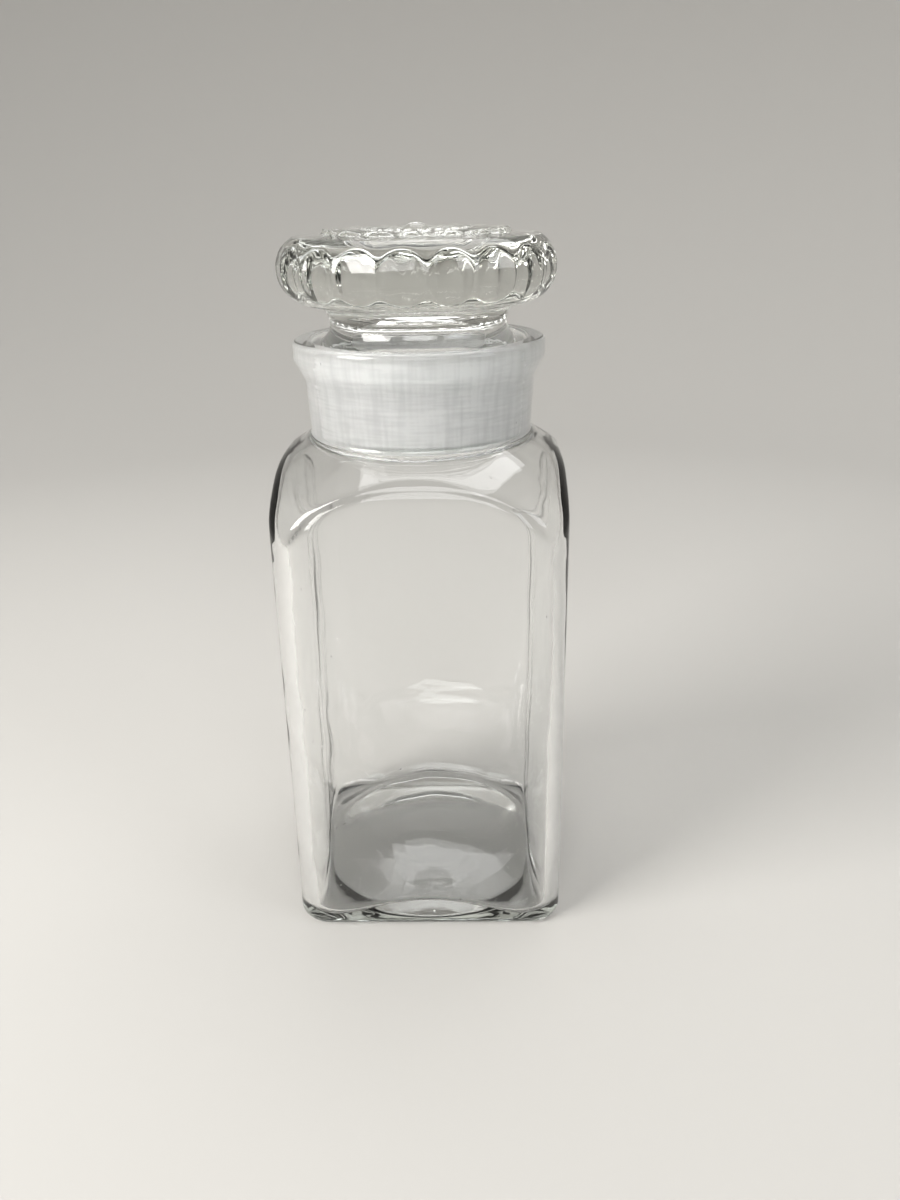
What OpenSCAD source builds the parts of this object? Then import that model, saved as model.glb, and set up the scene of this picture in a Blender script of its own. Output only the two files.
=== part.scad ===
// Lidded glass canister: a square mould-blown jar and its ground-glass stopper.
// Millimetres, Z up, origin at the centre of the foot, front face toward -Y.

/* [Body] */
// Outside width of the square body
body_w = 110; // [90:1:150]
// Height from the table to the root of the neck
body_h = 198.5; // [120:0.5:280]
// Radius of the body's four upright corners, outside
corner_r = 13.5; // [8:0.5:22]
// Radius of the same corners inside, where the glass is thicker
inner_corner_r = 15; // [8:0.5:24]
// Thickness of the side walls
wall = 4.5; // [3:0.1:7]
// Rounding where the walls meet the table
foot_edge_r = 4; // [2:0.5:7]

/* [Shoulder] */
// How much the dome's radius exceeds the reach of the upright corners
dome_over = 19.8; // [16:0.2:60]
// Rounding between the dome and the walls
dome_edge_r = 8.5; // [4:0.5:14]
// Rounding between the dome and the upright corners
dome_corner_r = 22; // [10:0.5:28]
// Glass thickness of the dome
dome_t = 5; // [3.5:0.1:8]

/* [Base] */
// Height of the floor's crown above the table
floor_top = 18; // [14:0.5:26]
// Height of the floor in the inside corners, where it is lowest
corner_floor = 5.8; // [4:0.1:9]
// Rounding at the foot of the walls inside
floor_edge_r = 6; // [3:0.5:10]
// Width of the flat ring that the jar stands on, at the middle of each side
foot_ring = 6; // [4:0.5:20]
// Thickness of the glass between the floor's crown and the hollow under the base
base_t = 9; // [6:0.5:12]

/* [Neck] */
// Width of the shoulder, from a side of the body in to the neck under its collar
shoulder_w = 11.1; // [8:0.1:16]
// How much the neck narrows toward its root
neck_draft = 1.2; // [0:0.1:2]
// Height of the neck, from its root to the rim
neck_h = 35.3; // [28:0.1:60]
// Height of the flared collar below the rim
collar_h = 14.5; // [8:0.5:20]
// How far the collar stands out from the neck
collar_out = 4; // [2:0.1:8]
// Rounding of the collar's outer edge
collar_edge_r = 2; // [0.5:0.1:3]
// Bevel at the mouth
mouth_bevel = 0.8; // [0.3:0.1:1.5]
// Width of the lip under the ground bore
lip = 1.5; // [0.5:0.1:3]

/* [Ground seat] */
// Thickness of the neck's wall under its collar
neck_wall = 3.5; // [2.8:0.1:6]
// How far the plug reaches below the neck's root
plug_past = 0.6; // [-6:0.1:2]
// Depth of the plug's top below the rim
plug_sink = 1.4; // [0.5:0.1:6]
// Change of radius along each millimetre of the ground taper
seat_taper = 0.05; // [0.02:0.005:0.1]
// Radial gap between the plug and its seat
seat_gap = 0.05; // [0.02:0.01:0.1]
// Rounding at the plug's lower edge
plug_edge_r = 1; // [0.5:0.1:2]

/* [Stopper] */
// Radius of the groove that makes the stopper's waist
waist_groove_r = 7; // [4:0.5:10]
// How far the head reaches out past the collar
head_over = 4.1; // [2:0.1:10]
// Thickness of the head
head_h = 25; // [18:0.5:30]
// Number of flutes pressed round the head
flutes = 20; // [16:1:24]
// Width left standing between two flutes
flute_ridge = 2.4; // [1.5:0.1:4]
// Depth of a flute at its middle
flute_depth = 1.2; // [0.6:0.1:1.5]
// How far in from the middle of the head's round edge a flute's upright curve is centred
flute_inset = 8; // [6:0.5:12]

/* [Rosette] */
// Number of petals on top of the head
petals = 16; // [8:1:20]
// Width of the flat ring outside the petals
petal_inset = 3.5; // [2:0.5:12]
// Distance from the axis to the petals' roots
petal_root = 12; // [11:0.5:16]
// Gap between two petals
petal_gap = 1; // [0.6:0.1:2]
// How far the petals stand up
petal_rise = 1.2; // [0.8:0.1:2]
// Radius of the bead in the middle
bead_r = 5; // [3:0.5:7]
// How far the bead stands up
bead_rise = 2.9; // [1:0.1:4]

/* [Hollow of the stopper] */
// Glass thickness of the plug at its mouth
plug_wall = 4; // [3:0.1:7]
// Glass thickness round the hollow at the waist
waist_wall = 9.4; // [5:0.1:14]
// Share of the head's thickness that the hollow rises into
hollow_share = 0.24; // [0.1:0.02:0.4]

/* [Hidden] */
$fn = 96;
fine = 0.01;
far = 400;
// how far one outline of the body stands clear of another that would only touch it
ease = 0.05;
// how far the petals go down into the head
petal_bed = 0.1;
// half the angle that a flute's ring is drawn through
flute_swing = 50;

half_w = body_w / 2;
inner_half_w = half_w - wall;
// distance from the axis to the middle of an upright corner
corner_reach = (half_w - corner_r) * sqrt(2) + corner_r;
inner_corner_reach = (inner_half_w - inner_corner_r) * sqrt(2) + inner_corner_r;
neck_r = half_w - shoulder_w;
neck_root_r = neck_r - neck_draft;
dome_r = corner_reach + dome_over;
dome_z = body_h - sqrt(dome_r * dome_r - neck_root_r * neck_root_r);
inner_dome_r = dome_r - dome_t;
// the ball that the floor is part of falls from the crown to the inside corners
floor_fall = floor_top - corner_floor;
floor_dome_r = (inner_corner_reach * inner_corner_reach + floor_fall * floor_fall) / (2 * floor_fall);
floor_z = floor_top - floor_dome_r;
kick_r = half_w - foot_edge_r - foot_ring;
kick_h = floor_top - base_t;
kick_ball_r = (kick_r * kick_r + kick_h * kick_h) / (2 * kick_h);

rim_z = body_h + neck_h;
collar_r = neck_r + collar_out;
plug_r = neck_r - neck_wall;
plug_top = rim_z - plug_sink;
plug_bottom = body_h - plug_past;
plug_h = plug_top - plug_bottom;
function seat_r(z) = plug_r + seat_gap + (z - plug_top) * seat_taper;
// the cavity ends level where the dome's inside has closed in to the lip
lip_r = seat_r(body_h) + lip;
lip_z = dome_z + sqrt(inner_dome_r * inner_dome_r - lip_r * lip_r);

waist_z = plug_top + waist_groove_r;
waist_r = plug_r - waist_groove_r;
head_r = collar_r + head_over;
head_z = waist_z + waist_groove_r + head_h / 2;
head_core_r = head_r - head_h / 2;
head_top = head_z + head_h / 2;
plug_bottom_r = plug_r - plug_h * seat_taper;
hollow_r = waist_r - waist_wall;
hollow_rise = waist_groove_r + hollow_share * head_h;
// a petal is as wide as its neighbours leave room for: half its width at the tip and the root
petal_reach = head_core_r - petal_inset;
petal_share = sin(180 / petals);
petal_half_w = (petal_reach * petal_share - petal_gap / 2) / (1 + petal_share);
root_half_w = petal_root * petal_share - petal_gap / 2;
// a flute's hollow is a ring bent round the head's edge: its upright curve and its level curve
flute_half_w = (2 * PI * head_r / flutes - flute_ridge) / 2;
flute_upright_r = head_h / 2 - flute_depth + flute_inset;
flute_level_r = 1 / (2 * flute_depth / (flute_half_w * flute_half_w) - 1 / head_r);

// Every separate piece of the object.
// Which piece to draw

// A square with rounded corners.
module rounded_square(w, r) {
    square([w, w - 2 * r], center = true);
    square([w - 2 * r, w], center = true);
    for (x = [-1, 1], y = [-1, 1])
        translate([x * (w / 2 - r), y * (w / 2 - r)]) circle(r);
}

// Half of the body's outline: up from bottom, rounded in at the foot, straight to reach, then
// rounded over onto a cap of radius cap_r whose centre is on the axis at dome_z. The cap is
// the round dome itself, or the straight roof that touches the dome where the rounding ends.
module half_outline(reach, bottom, foot_r, cap_r, edge_r, domed) {
    edge_x = reach - edge_r;
    edge_z = dome_z + sqrt(pow(cap_r - edge_r, 2) - edge_x * edge_x);
    touch_x = edge_x * cap_r / (cap_r - edge_r);
    touch_z = (edge_z - dome_z) * cap_r / (cap_r - edge_r);
    if (domed)
        intersection() {
            translate([0, dome_z]) circle(cap_r);
            polygon([[0, dome_z], [2 * touch_x, dome_z + 2 * touch_z], [0, dome_z + far]]);
        }
    else
        polygon([[0, dome_z], [touch_x, dome_z + touch_z], [0, dome_z + cap_r * cap_r / touch_z]]);
    translate([edge_x, edge_z]) circle(edge_r);
    polygon([[0, bottom], [reach - foot_r, bottom], [reach - foot_r, bottom + foot_r],
             [reach, bottom + foot_r], [reach, edge_z], [0, edge_z]]);
    translate([reach - foot_r, bottom + foot_r]) circle(foot_r);
}

// The roofed outline on both sides of the axis, drawn out along Y.
module body_slab(w, bottom, foot_r, cap_r) {
    rotate([90, 0, 0])
        linear_extrude(2 * w, center = true)
            for (side = [0, 1]) mirror([side, 0])
                half_outline(w / 2, bottom, foot_r, cap_r, dome_edge_r, false);
}

// A square body with every edge rounded and a domed top, cut level at the height ceiling.
module square_body(w, upright_r, reach, bottom, ceiling, foot_r, cap_r) {
    intersection() {
        linear_extrude(ceiling) rounded_square(w, upright_r);
        body_slab(w, bottom, foot_r, cap_r + ease);
        rotate([0, 0, 90]) body_slab(w, bottom, foot_r, cap_r + ease);
        rotate_extrude()
            intersection() {
                half_outline(reach + ease, bottom, foot_r, cap_r, dome_corner_r, true);
                translate([0, bottom]) square([2 * reach, far]);
            }
    }
}

// Neck and flared collar, as a solid.
module neck() {
    rotate_extrude() {
        polygon([[0, body_h - dome_t], [neck_root_r, body_h - dome_t], [neck_root_r, body_h],
                 [neck_r, rim_z - collar_h], [0, rim_z - collar_h]]);
        polygon([[0, rim_z - collar_h], [neck_r, rim_z - collar_h],
                 [collar_r, rim_z - collar_h / 2], [collar_r, rim_z - collar_edge_r],
                 [collar_r - collar_edge_r, rim_z - collar_edge_r],
                 [collar_r - collar_edge_r, rim_z], [0, rim_z]]);
        translate([collar_r - collar_edge_r, rim_z - collar_edge_r]) circle(collar_edge_r);
    }
}

// The ground bore in the neck, with its bevelled mouth.
module seat() {
    low = lip_z - dome_t;
    bevel_z = rim_z - mouth_bevel;
    mouth_r = seat_r(bevel_z) + mouth_bevel;
    rotate_extrude()
        polygon([[0, low], [seat_r(low), low], [seat_r(bevel_z), bevel_z],
                 [mouth_r, rim_z], [mouth_r, rim_z + fine], [0, rim_z + fine]]);
}

module jar() {
    color([0.84, 0.9, 0.87, 0.4])
        difference() {
            union() {
                square_body(body_w, corner_r, corner_reach, 0, body_h, foot_edge_r, dome_r);
                neck();
            }
            difference() {
                square_body(2 * inner_half_w, inner_corner_r, inner_corner_reach, corner_floor,
                            lip_z, floor_edge_r, inner_dome_r);
                translate([0, 0, floor_z]) sphere(floor_dome_r);
            }
            seat();
            translate([0, 0, kick_h - kick_ball_r]) sphere(kick_ball_r);
        }
}

// The stopper's outline: ground plug, waist and round-edged head.
module stopper_outline() {
    difference() {
        union() {
            polygon([[0, plug_bottom], [plug_bottom_r - plug_edge_r, plug_bottom],
                     [plug_bottom_r, plug_bottom + plug_edge_r], [plug_r, plug_top], [0, plug_top]]);
            translate([0, plug_top]) square([plug_r, 2 * waist_groove_r]);
            translate([0, head_z - head_h / 2]) square([head_core_r, head_h]);
            translate([head_core_r, head_z]) circle(head_h / 2);
        }
        translate([plug_r, waist_z]) circle(waist_groove_r);
    }
}

// The hollow inside the stopper, open at the plug's foot.
module stopper_hollow() {
    mouth_r = plug_bottom_r - plug_wall;
    top = waist_z + hollow_rise;
    rotate_extrude() {
        polygon([[0, plug_bottom - fine], [mouth_r, plug_bottom - fine], [mouth_r, plug_bottom],
                 [hollow_r, waist_z], [0, waist_z]]);
        translate([0, waist_z]) square([hollow_r, hollow_rise / 2]);
        intersection() {
            translate([0, top - hollow_r]) circle(hollow_r);
            translate([0, waist_z]) square([hollow_r, far]);
        }
    }
}

// Shallow oval flutes sunk side by side into the head's round edge.
module flute_hollows() {
    for (k = [0 : flutes - 1])
        rotate([0, 0, k * 360 / flutes])
            translate([head_core_r - flute_inset, 0, head_z])
                rotate([90, 0, 0])
                    rotate([0, 0, -flute_swing])
                        rotate_extrude(angle = 2 * flute_swing)
                            translate([flute_upright_r + flute_level_r, 0]) circle(flute_level_r);
}

// One petal: a long drop lying outward, round at tip and root.
module petal() {
    tip = petal_reach - petal_half_w;
    narrowing = (petal_half_w - root_half_w) / (tip - petal_root);
    across = sqrt(1 - narrowing * narrowing);
    translate([0, 0, head_top - petal_bed])
        linear_extrude(petal_bed + petal_rise) {
            translate([tip, 0]) circle(petal_half_w);
            translate([petal_root, 0]) circle(root_half_w);
            polygon([[tip - petal_half_w * narrowing, -petal_half_w * across],
                     [tip - petal_half_w * narrowing, petal_half_w * across],
                     [petal_root - root_half_w * narrowing, root_half_w * across],
                     [petal_root - root_half_w * narrowing, -root_half_w * across]]);
        }
}

// Petals all round, and the bead in the middle.
module rosette() {
    for (k = [0 : petals - 1])
        rotate([0, 0, (k + 0.5) * 360 / petals]) petal();
    translate([0, 0, head_top + bead_rise - bead_r]) sphere(bead_r);
}

module stopper() {
    color([0.88, 0.92, 0.9, 0.5])
        difference() {
            union() {
                rotate_extrude() stopper_outline();
                rosette();
            }
            flute_hollows();
            stopper_hollow();
        }
}

jar();
stopper();
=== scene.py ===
import math

import bpy
import numpy as np
from mathutils import Euler, Matrix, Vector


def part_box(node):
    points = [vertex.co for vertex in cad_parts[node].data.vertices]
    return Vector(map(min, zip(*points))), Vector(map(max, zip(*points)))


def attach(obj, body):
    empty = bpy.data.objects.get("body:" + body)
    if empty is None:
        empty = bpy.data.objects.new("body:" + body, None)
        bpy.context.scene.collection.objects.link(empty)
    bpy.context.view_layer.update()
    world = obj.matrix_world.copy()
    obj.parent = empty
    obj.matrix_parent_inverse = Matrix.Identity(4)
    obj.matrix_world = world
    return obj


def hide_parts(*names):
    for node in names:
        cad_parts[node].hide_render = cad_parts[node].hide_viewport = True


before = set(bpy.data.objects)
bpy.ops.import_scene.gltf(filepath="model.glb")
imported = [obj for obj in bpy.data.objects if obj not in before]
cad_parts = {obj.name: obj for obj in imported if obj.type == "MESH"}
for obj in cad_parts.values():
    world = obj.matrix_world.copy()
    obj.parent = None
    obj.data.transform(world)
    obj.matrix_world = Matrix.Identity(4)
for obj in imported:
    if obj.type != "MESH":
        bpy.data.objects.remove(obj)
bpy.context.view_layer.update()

# --- The jar -------------------------------------------------------------------------------
# Clear soda glass, blown into a square two-part mould and reheated, so every edge is soft and
# the inside faces are a little uneven. The neck's bore is ground with grit to a slow taper.

MM = 0.001  # one millimetre in metres: sizes here are in millimetres, the frame is in metres
PER_METRE = 1000
jar_low, jar_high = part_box("jar")
body_half = PER_METRE * (jar_high[0] - jar_low[0]) / 2
rim_z = PER_METRE * jar_high[2]
neck_h = 35.3
root_z = rim_z - neck_h
wall = 4.5
upright_r = 13.5
inner_upright_r = 12.5
foot_r = 4.0
dome_r = 92.0
dome_t = 5.0
dome_edge_r = 8.5
dome_corner_r = 22.0
straight_to = 160.0
soften_over = 26.0
crease_power = 70.0
neck_root_r = 42.7
neck_r = 43.9
collar_r = 47.9
collar_h = 14.5
collar_low = rim_z - collar_h
dome_z = root_z - math.sqrt(dome_r ** 2 - neck_root_r ** 2)
kick_r = 45.0
kick_h = 9.0
kick_edge = 2.5
kick_edge_r = 3.5
floor_top = 18.0
floor_dome_r = 190.0
floor_fall_from = 41.0
floor_fall_over = 23.0
corner_floor = 2.6
floor_edge_r = 5.0
plug_sink = 1.4
plug_top = rim_z - plug_sink
plug_r = 40.4
seat_taper = 0.05
seat_gap = 0.05


def square_ring(half, corner, turn):
    """Distance from the axis to a square with rounded corners, in the direction turn. The flats
    are half / max(|cos|, |sin|). A corner's arc is the far root of the circle of radius corner
    whose centre is half - corner from the axis both ways."""
    across, along = np.abs(np.cos(turn)), np.abs(np.sin(turn))
    inset = half - corner
    middle = inset * (across + along)
    arc = middle + np.sqrt(np.maximum(middle ** 2 - 2 * inset ** 2 + corner ** 2, 0))
    flat = half / np.maximum(across, along)
    on_corner = np.minimum(across, along) * half > inset * np.maximum(across, along)
    return np.where(on_corner, arc, flat)


def softer_of(a, b, share):
    """The smaller of two distances, with the crease between them rounded by share (0 to 1):
    the power mean of both with a large negative power, blended with the plain smaller one."""
    rounded = (a ** -crease_power + b ** -crease_power) ** (-1 / crease_power)
    return np.minimum(a, b) * (1 - share) + rounded * share


def eased_reach(z, reach, cap_r, edge_r):
    """How far a domed outline reaches at the height z: straight up at reach, then round an
    edge of radius edge_r that touches the wall and the dome, then the dome of radius cap_r."""
    edge_x = reach - edge_r
    edge_z = dome_z + math.sqrt((cap_r - edge_r) ** 2 - edge_x ** 2)
    touch_z = dome_z + (edge_z - dome_z) * cap_r / (cap_r - edge_r)
    round_edge = edge_x + np.sqrt(np.maximum(edge_r ** 2 - (z - edge_z) ** 2, 0))
    dome = np.sqrt(np.maximum(cap_r ** 2 - (z - dome_z) ** 2, 1))
    return np.where(z < edge_z, reach, np.where(z < touch_z, round_edge, dome))


def shoulder(z, half, corner, cap_r, turn):
    """Distance from the axis to the shouldered body at the height z: the rounded square whose
    flats follow the wall's own outline, held inside the round outline of its corners. Their
    crease softens from nothing at straight_to, on a smooth step soften_over high."""
    reach = (half - corner) * math.sqrt(2) + corner
    flats = eased_reach(z, half, cap_r, dome_edge_r)
    rounds = eased_reach(z, reach, cap_r, dome_corner_r)
    square = square_ring(half, corner, turn) * flats / half
    rise = np.clip((z - straight_to) / soften_over, 0, 1)
    return softer_of(square, rounds + 0 * turn, rise * rise * (3 - 2 * rise))


def rounded_path(points, radii, step=0.35):
    """A polyline with each inner corner replaced by an arc of the given radius, as an array of
    points about step apart. The arc leaves each side radius * tan(half the turn) short of the
    corner and swings from one side's direction to the other's."""
    points = np.array(points, float)
    out = [points[:1]]
    for before, corner, after, radius in zip(points, points[1:], points[2:], radii):
        into = (corner - before) / np.linalg.norm(corner - before)
        away = (after - corner) / np.linalg.norm(after - corner)
        turned = math.atan2(into[0] * away[1] - into[1] * away[0], into @ away)
        cut = radius * math.tan(abs(turned) / 2)
        side = np.array([-into[1], into[0]]) * math.copysign(1, turned)
        centre = corner - cut * into + radius * side
        swing = np.linspace(0, turned, max(int(abs(turned) * radius / step), 4) + 1)
        spoke = -radius * side
        out.append(centre + np.stack([spoke[0] * np.cos(swing) - spoke[1] * np.sin(swing),
                                      spoke[0] * np.sin(swing) + spoke[1] * np.cos(swing)], -1))
    out.append(points[-1:])
    return np.concatenate(out)


def resampled(path, count):
    """count points evenly spaced along a polyline."""
    length = np.concatenate([[0], np.cumsum(np.linalg.norm(np.diff(path, axis=0), axis=1))])
    at = np.linspace(0, length[-1], count)
    return np.stack([np.interp(at, length, path[:, 0]), np.interp(at, length, path[:, 1])], -1)


def turns_round(half, corner, count):
    """Directions round the axis, spaced three parts by even angles and seven parts by even
    lengths along a rounded square, so that its corners are as smooth as its flats."""
    fine = np.linspace(0, 2 * math.pi, 7201)
    r = square_ring(half, corner, fine)
    x, y = r * np.cos(fine), r * np.sin(fine)
    length = np.concatenate([[0], np.cumsum(np.hypot(np.diff(x), np.diff(y)))])
    mixed = 0.3 * fine / fine[-1] + 0.7 * length / length[-1]
    return np.interp(np.arange(count) / count, mixed, fine)


def skin(name, r, z, turn, inside_out=False):
    """A closed skin from rings: r and z hold one row per ring and one column per direction.
    The first and last rings close onto the axis, each with one point in the middle."""
    rings, columns = r.shape
    points = np.empty((rings * columns + 2, 3))
    points[:-2] = np.stack([r * np.cos(turn), r * np.sin(turn), z], -1).reshape(-1, 3)
    points[-2] = (0, 0, z[0].mean())
    points[-1] = (0, 0, z[-1].mean())
    ring, column = np.meshgrid(np.arange(rings - 1), np.arange(columns), indexing="ij")
    beside = (column + 1) % columns
    quads = np.stack([ring * columns + column, ring * columns + beside,
                      (ring + 1) * columns + beside, (ring + 1) * columns + column], -1)
    quads = quads.reshape(-1, 4)
    around = np.arange(columns)
    ahead = (around + 1) % columns
    middle = np.full(columns, rings * columns)
    first = np.stack([middle, ahead, around], -1)
    last_ring = (rings - 1) * columns
    last = np.stack([middle + 1, last_ring + around, last_ring + ahead], -1)
    faces = quads.tolist() + first.tolist() + last.tolist()
    if inside_out:
        faces = [face[::-1] for face in faces]
    mesh = bpy.data.meshes.new(name)
    mesh.from_pydata((points * MM).tolist(), [], faces)
    mesh.polygons.foreach_set("use_smooth", np.ones(len(mesh.polygons), bool))
    mesh.update()
    piece = bpy.data.objects.new(name, mesh)
    bpy.context.scene.collection.objects.link(piece)
    return piece


def kick_up(r):
    """Height of the hollow pushed up under the base: a shallow ball."""
    ball = (kick_r ** 2 + kick_h ** 2) / (2 * kick_h)
    return kick_h - ball + np.sqrt(ball ** 2 - r ** 2)


def floor_height(r):
    """Height of the floor inside: a low dome over the kick-up, and outside it a soft fall of
    half a cosine wave into the four corners."""
    dome = floor_top - floor_dome_r + np.sqrt(floor_dome_r ** 2 - r ** 2)
    fall = (1 - np.cos(math.pi * np.clip((r - floor_fall_from) / floor_fall_over, 0, 1))) / 2
    return dome + (corner_floor - dome) * fall


jar_columns = 288
jar_turn = turns_round(body_half, upright_r, jar_columns)[None, :]
ones = np.ones_like(jar_turn)
r_rows, z_rows, ground_rows = [], [], []


def add_rings(r, z, ground=False):
    """Rings joined to the jar's skin, in order from under the base, over the rim and down
    to the floor inside."""
    r, z = np.broadcast_arrays(r * ones, z * ones)
    r_rows.append(r)
    z_rows.append(z)
    ground_rows.extend([ground] * len(r_rows[-1]))


# under the base: the kick-up, its soft edge, and the foot widening to the square
kick_rings = np.linspace(1.5, kick_r - kick_edge, 16)[:, None]
add_rings(kick_rings, kick_up(kick_rings))
edge = resampled(rounded_path([(kick_r - kick_edge, kick_up(kick_r - kick_edge)),
                               (kick_r, 0.0), (kick_r + kick_edge, 0.0)], [kick_edge_r]), 8)
add_rings(edge[1:, :1], edge[1:, 1:])
widen = np.linspace(0, 1, 9)[1:, None]
foot_half = body_half - foot_r
foot_corner = upright_r - foot_r
add_rings(square_ring(kick_r + kick_edge + (foot_half - kick_r - kick_edge) * widen,
                      kick_r + kick_edge + (foot_corner - kick_r - kick_edge) * widen,
                      jar_turn), 0 * widen)
roll = np.linspace(0, math.pi / 2, 9)[1:, None]
add_rings(square_ring(foot_half + foot_r * np.sin(roll), foot_corner + foot_r * np.sin(roll),
                      jar_turn), foot_r * (1 - np.cos(roll)))
# the walls and the shoulder up to the neck's root
wall_z = np.linspace(foot_r, straight_to, 32)[1:, None]
add_rings(square_ring(body_half, upright_r, jar_turn), wall_z)
shoulder_top = root_z - 1.6
shoulder_z = np.linspace(straight_to, shoulder_top, 58)[1:, None]
add_rings(shoulder(shoulder_z, body_half, upright_r, dome_r, jar_turn), shoulder_z)
# the neck, the collar rolled out under the rim, and the flat rim
shoulder_top_r = math.sqrt(dome_r ** 2 - (shoulder_top - dome_z) ** 2)
root_fillet = 2.5
collar_hollow_r = 1.6
collar_flare_h = 7.6
collar_bulge_r = 2.4
collar_edge_r = 2.0
mouth_bevel = 0.8
mouth_edge_r = 0.7
mouth_z = rim_z - 1.2


def seat_r(z):
    """Radius of the ground bore at the height z: the plug's cone with the seat's gap round it."""
    return plug_r + seat_gap + (z - plug_top) * seat_taper


neck_path = rounded_path(
    [(shoulder_top_r, shoulder_top), (neck_root_r, root_z), (neck_r, collar_low),
     (collar_r, collar_low + collar_flare_h), (collar_r, rim_z),
     (seat_r(rim_z) + mouth_bevel, rim_z), (seat_r(mouth_z), mouth_z)],
    [root_fillet, collar_hollow_r, collar_bulge_r, collar_edge_r, mouth_edge_r])
neck_rings = resampled(neck_path, 74)[1:]
add_rings(neck_rings[:, :1], neck_rings[:, 1:])
# down the ground bore to its lip
inner_dome_r = dome_r - dome_t
lip_out = 1.5
lip_z = dome_z + math.sqrt(inner_dome_r ** 2 - (seat_r(root_z) + lip_out) ** 2)
bore_foot = lip_z + 1.2
bore_z = np.linspace(mouth_z, bore_foot, 28)[1:, None]
add_rings(seat_r(bore_z), bore_z, ground=True)
lip_low = lip_z - 0.6
lip_low_r = seat_r(root_z) + 2.2
lip_edge_r = 1.0
lip = resampled(rounded_path([(seat_r(bore_foot), bore_foot), (seat_r(lip_z), lip_z),
                              (lip_low_r, lip_low)], [lip_edge_r]), 7)
add_rings(lip[1:, :1], lip[1:, 1:])
outside_rings = sum(len(rows) for rows in r_rows)
# the inside of the shoulder and walls, and the domed floor
inner_half = body_half - wall
inner_straight_to = 158
inner_z = np.linspace(lip_low, inner_straight_to, 46)[1:, None]
add_rings(shoulder(inner_z, inner_half, inner_upright_r, inner_dome_r, jar_turn), inner_z)
inner_wall = square_ring(inner_half, inner_upright_r, jar_turn)
wall_foot = floor_height(inner_wall - floor_edge_r) + floor_edge_r
down = np.linspace(0, 1, 30)[1:, None]
add_rings(inner_wall, inner_straight_to + (wall_foot - inner_straight_to) * down)
curl = np.linspace(0, math.pi / 2, 10)[1:, None]
curl_r = inner_wall - floor_edge_r * (1 - np.cos(curl))
add_rings(curl_r, floor_height(curl_r) + floor_edge_r * (1 - np.sin(curl)))
inward = np.linspace(1, 0.03, 18)[1:, None]
floor_r = (inner_wall - floor_edge_r) * inward
add_rings(floor_r, floor_height(floor_r))

jar_r, jar_z = np.concatenate(r_rows), np.concatenate(z_rows)
ground_ring = np.array(ground_rows)


def ripple(turn, z, size, seed):
    """Slow unevenness of blown glass: the sum of six sine waves, three that change mostly up
    the walls and three that change mostly round them, scaled to about size at the most."""
    rng = np.random.default_rng(seed)
    most = 3.6
    total = 0
    for k in range(6):
        around = rng.integers(3, 9) if k < 3 else rng.integers(9, 22)
        rise = rng.uniform(0.05, 0.1) if k < 3 else rng.uniform(0.01, 0.04)
        total = total + np.sin(around * turn + rise * z + rng.uniform(0, 6.28)) / (1 + k % 3)
    return size * total / most


inner_face = (np.arange(len(jar_r)) >= outside_rings)[:, None]
# fine lines drawn in the inner corners: a sine wave up the wall whose own phase wanders
line_depth = 0.11
in_corner = np.clip((jar_r - 56) / 8, 0, 1)
wander = np.sin(0.09 * jar_z + 5 * jar_turn)
drawn_lines = line_depth * in_corner * np.sin(0.42 * jar_z + 2.5 * wander + 31 * jar_turn)
drawn_lines = drawn_lines * np.clip((170 - jar_z) / 15, 0, 1) * np.clip((jar_z - 14) / 10, 0, 1)
jar_r = jar_r + np.where(inner_face, drawn_lines, 0)
# slow unevenness, both ways inside and only inwards outside, fading at shoulder and foot
inner_ripple = ripple(jar_turn, jar_z, 0.28, 3)
outer_ripple = -0.1 * (1 + ripple(jar_turn, jar_z, 1, 8))
body_only = np.clip((185 - jar_z) / 25, 0, 1) * np.clip((jar_z - 2) / 20, 0, 1)
jar_r = jar_r + np.where(inner_face, inner_ripple, outer_ripple) * body_only

jar = skin("jar_glass", jar_r, jar_z, jar_turn)


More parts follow.
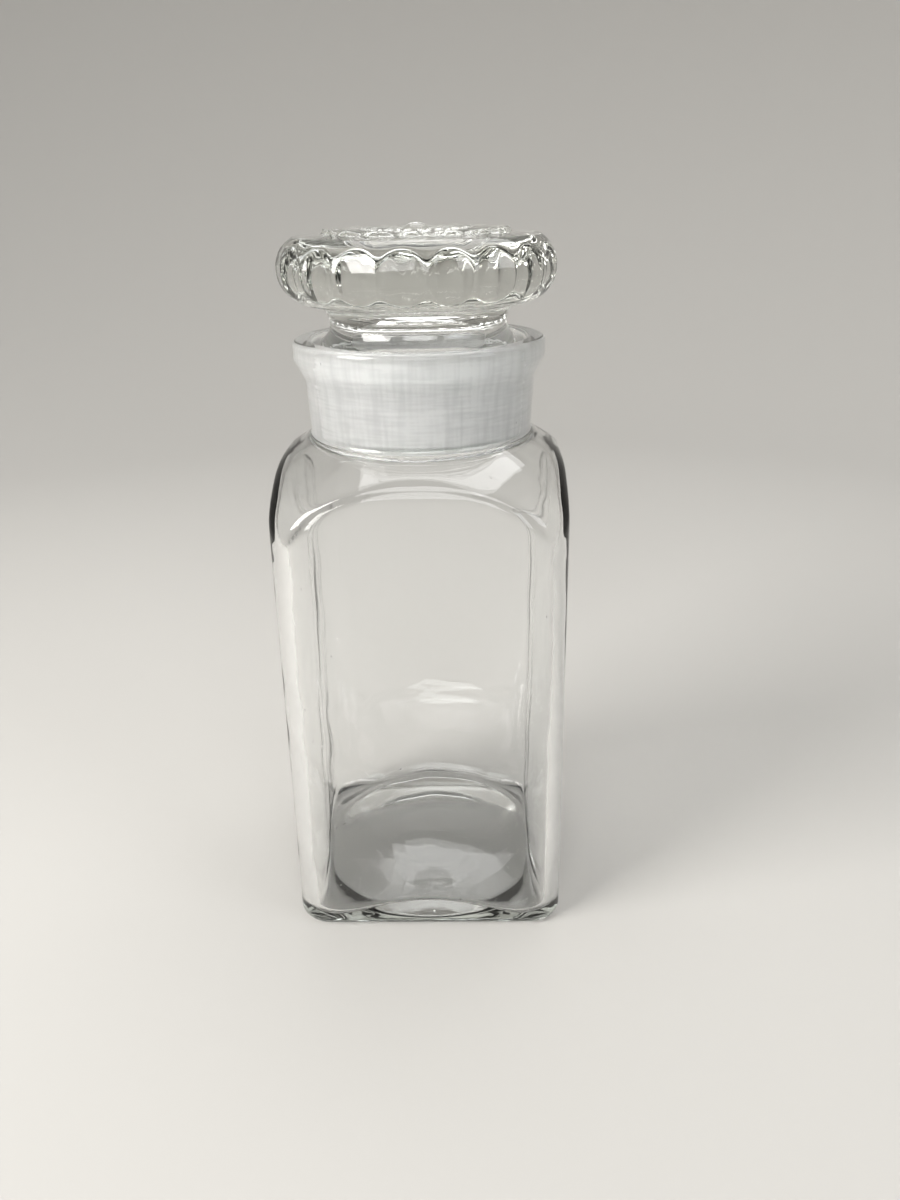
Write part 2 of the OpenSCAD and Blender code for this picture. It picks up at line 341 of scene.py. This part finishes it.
def clear_glass(name, tint, thickness_tint):
    """Clear soda glass: sharp and bright, with the faint grey-green that shows where it is
    thick, drawn waves and small seeds in its skin, and a thin film of handling marks."""
    mat = bpy.data.materials.new(name)
    mat.use_nodes = True
    nt = mat.node_tree
    shader = nt.nodes["Principled BSDF"]
    shader.inputs["Base Color"].default_value = (*tint, 1)
    shader.inputs["Transmission Weight"].default_value = 1.0
    shader.inputs["IOR"].default_value = 1.5
    place = nt.nodes.new("ShaderNodeTexCoord")
    film = nt.nodes.new("ShaderNodeTexNoise")
    film.inputs["Scale"].default_value = 45
    film.inputs["Detail"].default_value = 5
    marks = nt.nodes.new("ShaderNodeMapRange")
    marks.inputs["From Min"].default_value = 0.5
    marks.inputs["From Max"].default_value = 0.75
    marks.inputs["To Min"].default_value = 0.0
    marks.inputs["To Max"].default_value = 0.05
    nt.links.new(place.outputs["Object"], film.inputs["Vector"])
    nt.links.new(film.outputs["Fac"], marks.inputs["Value"])
    nt.links.new(marks.outputs["Result"], shader.inputs["Roughness"])
    drawn = nt.nodes.new("ShaderNodeMapping")
    drawn.inputs["Scale"].default_value = (1, 1, 0.25)
    waves = nt.nodes.new("ShaderNodeTexNoise")
    waves.inputs["Scale"].default_value = 60
    waves.inputs["Detail"].default_value = 2
    seeds = nt.nodes.new("ShaderNodeTexVoronoi")
    seeds.inputs["Scale"].default_value = 95
    seed_edge = nt.nodes.new("ShaderNodeMapRange")
    seed_edge.inputs["From Min"].default_value = 0.0
    seed_edge.inputs["From Max"].default_value = 0.06
    seed_edge.inputs["To Min"].default_value = 1.6
    seed_edge.inputs["To Max"].default_value = 0.0
    nt.links.new(place.outputs["Object"], seeds.inputs["Vector"])
    nt.links.new(seeds.outputs["Distance"], seed_edge.inputs["Value"])
    both = nt.nodes.new("ShaderNodeMath")
    both.operation = "ADD"
    bump = nt.nodes.new("ShaderNodeBump")
    bump.inputs["Strength"].default_value = 0.25
    bump.inputs["Distance"].default_value = 0.0004
    nt.links.new(place.outputs["Object"], drawn.inputs["Vector"])
    nt.links.new(drawn.outputs["Vector"], waves.inputs["Vector"])
    nt.links.new(waves.outputs["Fac"], both.inputs[0])
    nt.links.new(seed_edge.outputs["Result"], both.inputs[1])
    nt.links.new(both.outputs["Value"], bump.inputs["Height"])
    nt.links.new(bump.outputs["Normal"], shader.inputs["Normal"])
    depth = nt.nodes.new("ShaderNodeVolumeAbsorption")
    depth.inputs["Color"].default_value = (*thickness_tint, 1)
    depth.inputs["Density"].default_value = 14
    nt.links.new(depth.outputs["Volume"], nt.nodes["Material Output"].inputs["Volume"])
    return mat


def ground_glass(name, tint):
    """Glass ground with wet grit: a white haze that light still passes, with the fine level
    rings that turning the stopper in its seat leaves, crossed by faint upright streaks."""
    mat = bpy.data.materials.new(name)
    mat.use_nodes = True
    nt = mat.node_tree
    shader = nt.nodes["Principled BSDF"]
    shader.inputs["Transmission Weight"].default_value = 0.52
    shader.inputs["IOR"].default_value = 1.5
    place = nt.nodes.new("ShaderNodeTexCoord")
    rings = nt.nodes.new("ShaderNodeMapping")
    rings.inputs["Scale"].default_value = (0.08, 0.08, 1)
    grit = nt.nodes.new("ShaderNodeTexNoise")
    grit.inputs["Scale"].default_value = 900
    grit.inputs["Detail"].default_value = 4
    rough = nt.nodes.new("ShaderNodeMapRange")
    rough.inputs["From Min"].default_value = 0.3
    rough.inputs["From Max"].default_value = 0.7
    rough.inputs["To Min"].default_value = 0.32
    rough.inputs["To Max"].default_value = 0.55
    nt.links.new(place.outputs["Object"], rings.inputs["Vector"])
    nt.links.new(rings.outputs["Vector"], grit.inputs["Vector"])
    nt.links.new(grit.outputs["Fac"], rough.inputs["Value"])
    nt.links.new(rough.outputs["Result"], shader.inputs["Roughness"])
    upright = nt.nodes.new("ShaderNodeMapping")
    upright.inputs["Scale"].default_value = (1, 1, 0.06)
    streaks = nt.nodes.new("ShaderNodeTexNoise")
    streaks.inputs["Scale"].default_value = 500
    streaks.inputs["Detail"].default_value = 3
    nt.links.new(place.outputs["Object"], upright.inputs["Vector"])
    nt.links.new(upright.outputs["Vector"], streaks.inputs["Vector"])
    haze = nt.nodes.new("ShaderNodeMath")
    haze.operation = "MULTIPLY"
    nt.links.new(grit.outputs["Fac"], haze.inputs[0])
    nt.links.new(streaks.outputs["Fac"], haze.inputs[1])
    tone = nt.nodes.new("ShaderNodeValToRGB")
    tone.color_ramp.elements[0].position = 0.12
    worn = 0.82
    tone.color_ramp.elements[0].color = (*(worn * c for c in tint), 1)
    tone.color_ramp.elements[1].position = 0.34
    tone.color_ramp.elements[1].color = (*tint, 1)
    nt.links.new(haze.outputs["Value"], tone.inputs["Fac"])
    nt.links.new(tone.outputs["Color"], shader.inputs["Base Color"])
    bump = nt.nodes.new("ShaderNodeBump")
    bump.inputs["Strength"].default_value = 0.4
    bump.inputs["Distance"].default_value = 0.0001
    nt.links.new(grit.outputs["Fac"], bump.inputs["Height"])
    nt.links.new(bump.outputs["Normal"], shader.inputs["Normal"])
    return mat


def dress(piece, clear, ground, ground_ring, columns):
    """Clear glass all over, and the ground finish on the quads between two ground rings."""
    piece.data.materials.append(clear)
    piece.data.materials.append(ground)
    band = np.repeat(ground_ring[:-1] & ground_ring[1:], columns).astype(np.int32)
    slots = np.zeros(len(piece.data.polygons), np.int32)
    slots[:len(band)] = band
    piece.data.polygons.foreach_set("material_index", slots)


jar_clear = clear_glass("jar clear glass", (1.0, 1.0, 1.0), (0.86, 0.9, 0.87))
seat_ground = ground_glass("ground seat", (1.0, 1.0, 1.0))
dress(jar, jar_clear, seat_ground, ground_ring, jar_turn.shape[1])
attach(jar, "jar_body")
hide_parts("jar")

# --- The stopper ---------------------------------------------------------------------------
# One piece of pressed glass: a hollow plug ground to the neck's taper, a narrow waist, and a
# thick round head with thumb flutes round its edge and a chrysanthemum pressed into its top.

stopper_high = PER_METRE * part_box("stopper")[1][2]
bead_rise = 2.9
head_top = stopper_high - bead_rise
head_r = 52.0
head_h = 25.0
head_z = head_top - head_h / 2
core_r = head_r - head_h / 2
waist_groove = 7.0
waist_r = 33.4
waist_z = plug_top + waist_groove
plug_h = 34.5
plug_bottom = plug_top - plug_h
plug_bottom_r = plug_r - plug_h * seat_taper
plug_wall = 4.0
hollow_r = 24.0
hollow_top = waist_z + 13
crown_r = hollow_r - 6
crown_edge_r = 14.0
bell_r = 30.0
plug_mouth_r = 1.6
plug_foot_r = 1.0
plug_shoulder_r = 0.9
flutes = 20
flute_depth = 1.1
flute_phase = math.radians(15.2)
flute_half_wide = 0.45
flute_half_tall = 0.86
flute_low = 0.06
flute_soft = 0.015
petals = 16
petal_root = 12
petal_reach = 35.0
petal_rise = 1.9
inner_petal_root = 8
inner_petal_reach = 21
inner_petal_rise = 1.0
bead_r = 5.2

stopper_columns = flutes * 20
stopper_turn = (2 * math.pi * np.arange(stopper_columns) / stopper_columns)[None, :]
all_round = np.ones_like(stopper_turn)
# from the hollow's crown down to the plug's mouth, up the ground cone to the waist
hollow_path = rounded_path(
    [(0.6, hollow_top), (crown_r, hollow_top), (hollow_r, waist_z),
     (plug_bottom_r - plug_wall, plug_bottom), (plug_bottom_r, plug_bottom),
     (plug_bottom_r + 0.1, plug_bottom + 2)],
    [crown_edge_r, bell_r, plug_mouth_r, plug_foot_r])
hollow_rings = resampled(hollow_path, 48)
cone_z = np.linspace(plug_bottom + 2, plug_top - 1.2, 14)[1:]
cone_rings = np.stack([plug_r + (cone_z - plug_top) * seat_taper, cone_z], -1)
swing = np.linspace(-math.pi / 2, math.pi / 2, 25)
groove_rings = np.stack([waist_r + waist_groove - waist_groove * np.cos(swing),
                         waist_z + waist_groove * np.sin(swing)], -1)
into_groove = 3
plug_shoulder = rounded_path([cone_rings[-1], (plug_r, plug_top), groove_rings[into_groove]],
                             [plug_shoulder_r])
plug_shoulder_rings = resampled(plug_shoulder, 7)[1:]
# round the head's edge to its crest, at this angle above the level
crest_turn = 1.08
edge_turn = np.linspace(-math.pi / 2, crest_turn, 62)[1:]
edge_rings = np.stack([core_r + head_h / 2 * np.cos(edge_turn),
                       head_z + head_h / 2 * np.sin(edge_turn)], -1)
# the top is pressed nearly flat inside that crest, and a little higher under the petals
crest_r, crest_z = edge_rings[-1]
top_z = head_top - 0.9
top_across = np.concatenate([crest_r - np.array([0.25, 0.6, 1.1]),
                             np.linspace(crest_r - 2, 0.6, 84)])
past_petals = np.clip((top_across - petal_reach) / (crest_r - petal_reach), 0, 1)
top_rings = np.stack([top_across, top_z - (top_z - crest_z) * past_petals], -1)

profile = np.concatenate([hollow_rings, cone_rings, plug_shoulder_rings,
                          groove_rings[into_groove + 1:], edge_rings, top_rings])
stopper_r = profile[:, :1] * all_round
stopper_z = profile[:, 1:] * all_round
stopper_ground = np.zeros(len(profile), bool)
stopper_ground[len(hollow_rings) - 1:len(hollow_rings) + len(cone_rings)] = True

# thumb flutes: hollows with a squarish oval outline, sunk square to the round edge, whose
# rims are eased by the smooth maximum (v + sqrt(v squared + flute_soft)) / 2
edge_from = len(profile) - len(top_rings) - len(edge_rings)
on_edge = slice(edge_from, edge_from + len(edge_rings))
pitch = 2 * math.pi / flutes
beside_flute = ((stopper_turn - flute_phase) / pitch + 0.5) % 1 - 0.5
oval = (1 - np.abs(beside_flute / flute_half_wide) ** 2.2
        - np.abs((edge_turn[:, None] + flute_low) / flute_half_tall) ** 2.4)
sunk = flute_depth * 0.5 * (oval + np.sqrt(oval ** 2 + flute_soft))
sunk = sunk - sunk.min()
stopper_r[on_edge] -= sunk * np.cos(edge_turn)[:, None]
stopper_z[on_edge] -= sunk * np.sin(edge_turn)[:, None]


def petal_ring(r, turn, count, phase, root, tip, rise):
    """Height of one ring of petals: each is rounded across and ends in a round tip, and is
    highest just inside that tip."""
    share = ((turn - phase) * count / (2 * math.pi) + 0.5) % 1 - 0.5
    arch = np.sqrt(np.maximum(1 - (2 * share) ** 2, 0))
    outer = tip - 3.5 * (1 - arch)
    rim = np.clip((outer - r) / 0.9, 0, 1)
    rim = rim * rim * (3 - 2 * rim)
    fall = 0.6 + 0.4 * np.clip((r - root) / (tip - root), 0, 1)
    return rise * rim * (0.2 + 0.8 * arch) * fall


# the rosette: a ring of long petals, a lower ring of short ones between them, and a round
# bead in the middle that covers their roots
on_top = slice(len(profile) - len(top_rings), len(profile))
top_r = stopper_r[on_top]
relief = petal_ring(top_r, stopper_turn, petals, 0.0, petal_root, petal_reach, petal_rise)
relief = relief + petal_ring(top_r, stopper_turn, petals, math.pi / petals, inner_petal_root,
                             inner_petal_reach, inner_petal_rise)
relief = relief * np.clip((top_r - 4.5) / 3, 0, 1)
bead = np.sqrt(np.maximum(bead_r ** 2 - top_r ** 2, 0)) * (stopper_high - top_z) / bead_r
stopper_z[on_top] += np.maximum(relief, np.where(top_r < bead_r, bead, 0))

stopper = skin("stopper_glass", stopper_r, stopper_z, stopper_turn)
stopper_clear = clear_glass("stopper clear glass", (1.0, 1.0, 1.0), (0.9, 0.91, 0.88))
plug_ground = ground_glass("ground plug", (1.0, 1.0, 1.0))
dress(stopper, stopper_clear, plug_ground, stopper_ground, stopper_turn.shape[1])
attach(stopper, "stopper_body")
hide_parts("stopper")

# --- Floor and light -----------------------------------------------------------------------
# A plain pale sweep: a round table top whose edge curves up far away on every side.

sweep_r = 1900
sweep_h = 2200
sweep_curve_r = 1100
under_foot = -0.02
sweep_path = rounded_path([(0.5, under_foot), (sweep_r, under_foot), (sweep_r, sweep_h)],
                          [sweep_curve_r], step=45)
sweep_turn = np.linspace(0, 2 * math.pi, 129)[None, :-1]
sweep = skin("sweep", sweep_path[:, :1] + 0 * sweep_turn, sweep_path[:, 1:] + 0 * sweep_turn,
             sweep_turn, inside_out=True)
bpy.context.view_layer.update()
paper = bpy.data.materials.new("pale paper")
paper.use_nodes = True
paper_shader = paper.node_tree.nodes["Principled BSDF"]
paper_shader.inputs["Base Color"].default_value = (0.42, 0.41, 0.39, 1)
paper_shader.inputs["Roughness"].default_value = 0.9
sweep.data.materials.append(paper)


def soft_box(name, place, size, power, colour, spread=180):
    """A large soft lamp that faces the middle of the jar. spread is the full angle, in
    degrees, that its light is kept within: below 180 the light fades out on the sweep."""
    lamp = bpy.data.lights.new(name, "AREA")
    lamp.shape = "RECTANGLE"
    lamp.size, lamp.size_y = size
    lamp.energy = power
    lamp.color = colour
    lamp.spread = math.radians(spread)
    stand = bpy.data.objects.new(name, lamp)
    stand.location = place
    jar_middle = np.array([0, 0, 0.15])
    back = np.array(place) - jar_middle
    tilt = math.acos(back[2] / np.linalg.norm(back))
    stand.rotation_euler = (tilt, 0, math.atan2(back[0], -back[1]))
    stand.visible_camera = False
    bpy.context.scene.collection.objects.link(stand)


soft_box("window", (-1.0, -0.6, 0.72), (0.7, 0.8), 14, (1.0, 0.985, 0.96), 130)
soft_box("far side", (1.3, -0.8, 0.8), (0.9, 0.9), 5.5, (0.95, 0.97, 1.0), 140)
soft_box("behind the camera", (0.1, -1.6, 0.9), (1.3, 1.0), 20, (1, 1, 1))
soft_box("overhead", (0.1, 0.4, 1.6), (1.5, 1.5), 20, (1, 1, 1))

world = bpy.data.worlds.new("room")
world.use_nodes = True
world.node_tree.nodes["Background"].inputs["Color"].default_value = (0.8, 0.82, 0.85, 1)
world.node_tree.nodes["Background"].inputs["Strength"].default_value = 0.75
bpy.context.scene.world = world

# --- Camera --------------------------------------------------------------------------------
# A hand-held camera, a little higher than the stopper and looking down at the jar.

lens = bpy.data.cameras.new("phone")
lens.lens = 30.0
lens.sensor_width = 36.0
lens.clip_start = 0.01
phone = bpy.data.objects.new("phone", lens)
phone.location = (0.01785, -0.38932, 0.28634)
look_down = 22.54
look_left = 1.16
lean = -1.05
look = Euler((math.radians(90 - look_down), 0, math.radians(look_left))).to_matrix()
leant = look @ Matrix.Rotation(math.radians(lean), 3, "Z")
phone.matrix_world = Matrix.Translation(phone.location) @ leant.to_4x4()
bpy.context.scene.collection.objects.link(phone)
bpy.context.scene.camera = phone
bpy.context.scene.view_settings.view_transform = "Standard"

bpy.context.view_layer.update()
